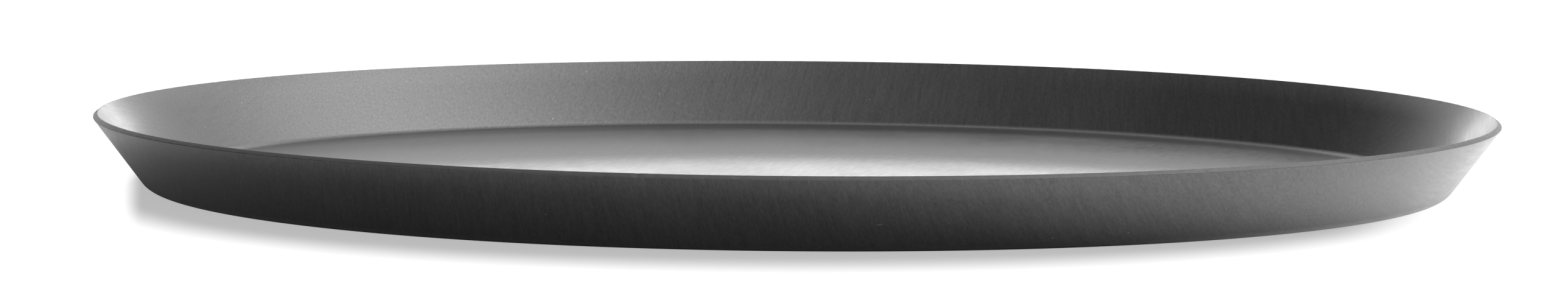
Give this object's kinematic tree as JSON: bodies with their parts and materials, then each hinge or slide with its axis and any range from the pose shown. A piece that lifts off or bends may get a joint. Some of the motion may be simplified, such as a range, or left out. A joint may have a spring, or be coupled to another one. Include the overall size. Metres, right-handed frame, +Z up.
{
  "type": "shallow round pan",
  "caption": "Shallow round pan pressed from dark steel sheet: flat floor, straight flared wall and a plain cut rim. Holds, swirls or bakes a thin layer of what is put in it.",
  "frame": {"origin": "centre of the flat underside, on the surface that the pan stands on", "axes": "+Z up along the pan's axis, out of its open mouth; the pan is round, so +X and +Y are any two horizontal directions"},
  "size_m": [0.356, 0.356, 0.0185],
  "materials": {
    "blued_steel": "dark blued sheet steel, satin, with a faint rolling grain that runs one way across the sheet"
  },
  "bodies": {
    "root": {"pressed_pan": "blued_steel"}
  },
  "joints": []
}
